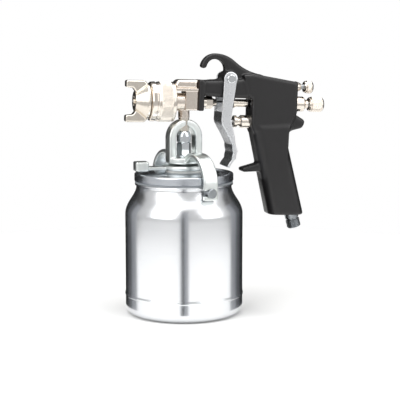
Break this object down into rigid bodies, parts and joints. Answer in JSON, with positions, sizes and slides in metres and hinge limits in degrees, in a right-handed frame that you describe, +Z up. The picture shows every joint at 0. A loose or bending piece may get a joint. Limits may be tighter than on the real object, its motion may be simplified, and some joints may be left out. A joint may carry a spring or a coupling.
{
  "type": "suction feed spray gun",
  "caption": "Suction feed spray gun with a black body, hanging hook and trigger, a plated spray head, and a polished metal cup clamped beneath it.",
  "frame": {"origin": "middle of the cup's flat base, which the gun stands on", "axes": "+Z up through the cup; the gun sprays towards -X and its grip is at +X; Y is across the gun"},
  "size_m": [0.1894, 0.1092, 0.2387],
  "materials": {
    "black_enamel": "semi-gloss enamel",
    "nickel": "bright nickel plate",
    "polished_steel": "polished",
    "cup_aluminium": "polished and brushed",
    "lid_aluminium": "polished",
    "cast_aluminium": "tumbled casting",
    "brass": "turned",
    "steel": "zinc plated",
    "spring_steel": "drawn wire",
    "fibre": "vulcanised fibre",
    "ptfe": "turned PTFE",
    "rubber": "moulded"
  },
  "bodies": {
    "gun": {"gun_body": "black_enamel", "head": "nickel", "head_gasket": "fibre", "fluid_nozzle": "nickel", "air_baffle": "brass", "needle_packing": "ptfe", "packing_nut": "nickel", "fluid_control_bushing": "nickel", "spreader_bushing": "nickel", "air_valve_nut": "nickel", "air_valve_packing": "ptfe", "air_valve_seat": "ptfe", "trigger_pin": "polished_steel", "trigger_screw": "polished_steel", "air_inlet_connector": "steel", "cup_shell": "cup_aluminium", "cup_studs": "steel", "lid_gasket": "rubber", "lid": "lid_aluminium", "fluid_tube": "polished_steel", "fluid_inlet_nipple": "nickel", "coupling_nut": "nickel", "lock_nut": "nickel", "tube_collar": "nickel", "cam_washer": "ptfe", "ring_washer": "ptfe"},
    "retaining_ring": {"retaining_ring": "nickel"},
    "air_cap": {"air_cap": "nickel"},
    "needle": {"needle": "polished_steel", "needle_collar": "nickel", "needle_stop": "brass", "needle_spring": "spring_steel"},
    "air_valve_stem": {"air_valve_stem": "polished_steel", "air_valve_disc": "brass", "air_valve_spring": "spring_steel"},
    "trigger": {"trigger": "polished_steel"},
    "fluid_screw": {"fluid_control_screw": "steel"},
    "fluid_knob": {"fluid_control_knob": "nickel"},
    "spreader_stem": {"spreader_stem": "steel", "spreader_seal": "rubber"},
    "spreader_knob": {"spreader_knob": "nickel"},
    "cam_lever": {"cam_lever": "cast_aluminium"},
    "yoke": {"yoke": "cast_aluminium"}
  },
  "joints": [
    {"name": "trigger_pull", "type": "hinge", "parent": "gun", "child": "trigger", "pos_m": [0.04102, 0, 0.21592], "axis": [0, -1, 0], "range_deg": [0, 10], "stiffness_Nm_per_rad": 0.4, "springref_deg": -22.92},
    {"name": "needle_draw", "type": "slide", "parent": "gun", "child": "needle", "axis": [0.9995, 0, -0.0332], "range_m": [0, 0.0041], "deforming": ["needle_spring"]},
    {"name": "air_valve_lift", "type": "slide", "parent": "gun", "child": "air_valve_stem", "axis": [0.9995, 0, -0.0332], "range_m": [0, 0.0071], "deforming": ["air_valve_spring"]},
    {"name": "fluid_knob_turn", "type": "hinge", "parent": "fluid_screw", "child": "fluid_knob", "pos_m": [0.12693, 0, 0.19066], "axis": [-0.9995, 0, 0.0332], "range_deg": [0, 1080]},
    {"name": "fluid_screw_travel", "type": "slide", "parent": "gun", "child": "fluid_screw", "axis": [0.9995, 0, -0.0332], "range_m": [0, 0.003]},
    {"name": "spreader_knob_turn", "type": "hinge", "parent": "spreader_stem", "child": "spreader_knob", "pos_m": [0.11947, 0, 0.20691], "axis": [-0.9995, 0, 0.0332], "range_deg": [0, 1080]},
    {"name": "spreader_stem_travel", "type": "slide", "parent": "gun", "child": "spreader_stem", "axis": [0.9995, 0, -0.0332], "range_m": [0, 0.003]},
    {"name": "air_cap_turn", "type": "hinge", "parent": "gun", "child": "air_cap", "pos_m": [-0.03898, 0, 0.19616], "axis": [0.9995, 0, -0.0332], "continuous": true},
    {"name": "retaining_ring_turn", "type": "hinge", "parent": "gun", "child": "retaining_ring", "pos_m": [-0.02099, 0, 0.19556], "axis": [0.9995, 0, -0.0332], "continuous": true},
    {"name": "cam_lever_swing", "type": "hinge", "parent": "gun", "child": "cam_lever", "pos_m": [0, 0, 0.136], "axis": [0, 0, 1], "range_deg": [0, 60]},
    {"name": "yoke_swing", "type": "hinge", "parent": "gun", "child": "yoke", "pos_m": [0, 0, 0.142], "axis": [0, 0, 1], "range_deg": [0, 30]}
  ],
  "couplings": [
    {"joint": "needle_draw", "follows": "trigger_pull", "m_per_rad": 0.0224},
    {"joint": "air_valve_lift", "follows": "trigger_pull", "m_per_rad": 0.0394},
    {"joint": "fluid_knob_turn", "follows": "fluid_screw_travel", "rad_per_m": 6283.2},
    {"joint": "spreader_knob_turn", "follows": "spreader_stem_travel", "rad_per_m": 6283.2}
  ]
}
